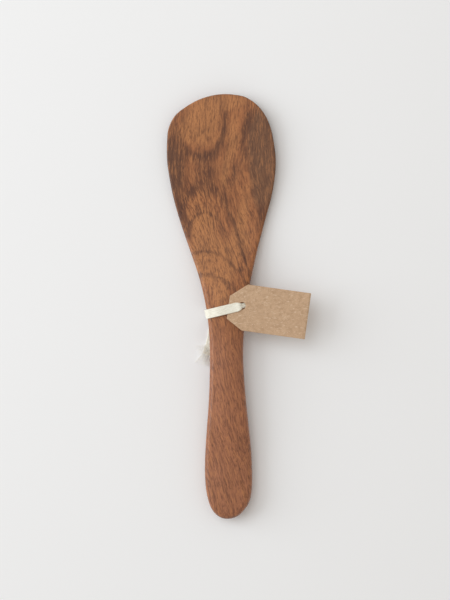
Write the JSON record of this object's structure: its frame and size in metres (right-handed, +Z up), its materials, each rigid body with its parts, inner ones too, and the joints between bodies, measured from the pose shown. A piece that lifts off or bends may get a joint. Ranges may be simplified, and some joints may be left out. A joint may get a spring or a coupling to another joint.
{
  "type": "wooden spatula",
  "caption": "One-piece wooden cooking spatula with a wide flat blade, a waisted handle and a blank card tag tied round its neck with flat cotton tape.",
  "frame": {"origin": "on the underside of the blade, in the middle of the flat that the blade rests on", "axes": "+Y along the spatula from the handle to the blade's tip, +Z up out of the blade's top face, +X to the right when the blade points away"},
  "size_m": [0.0996, 0.3, 0.02],
  "materials": {
    "wood": "oiled satin",
    "cotton_tape": "woven matte",
    "card": "matte fibrous"
  },
  "bodies": {
    "spatula": {"wooden_spatula": "wood"},
    "tape": {"tape_loop": "cotton_tape", "tape_knot": "cotton_tape", "tape_tail_long": "cotton_tape", "tape_tail_short": "cotton_tape"},
    "tag": {"card_tag": "card"}
  },
  "joints": [
    {"name": "tape_slide", "type": "slide", "parent": "spatula", "child": "tape", "axis": [0, 1, 0], "range_m": [-0.02, 0]},
    {"name": "tag_swing", "type": "hinge", "parent": "tape", "child": "tag", "pos_m": [0.0121, -0.0567, 0.018], "axis": [0, 0, 1], "range_deg": [-70, 110]}
  ]
}
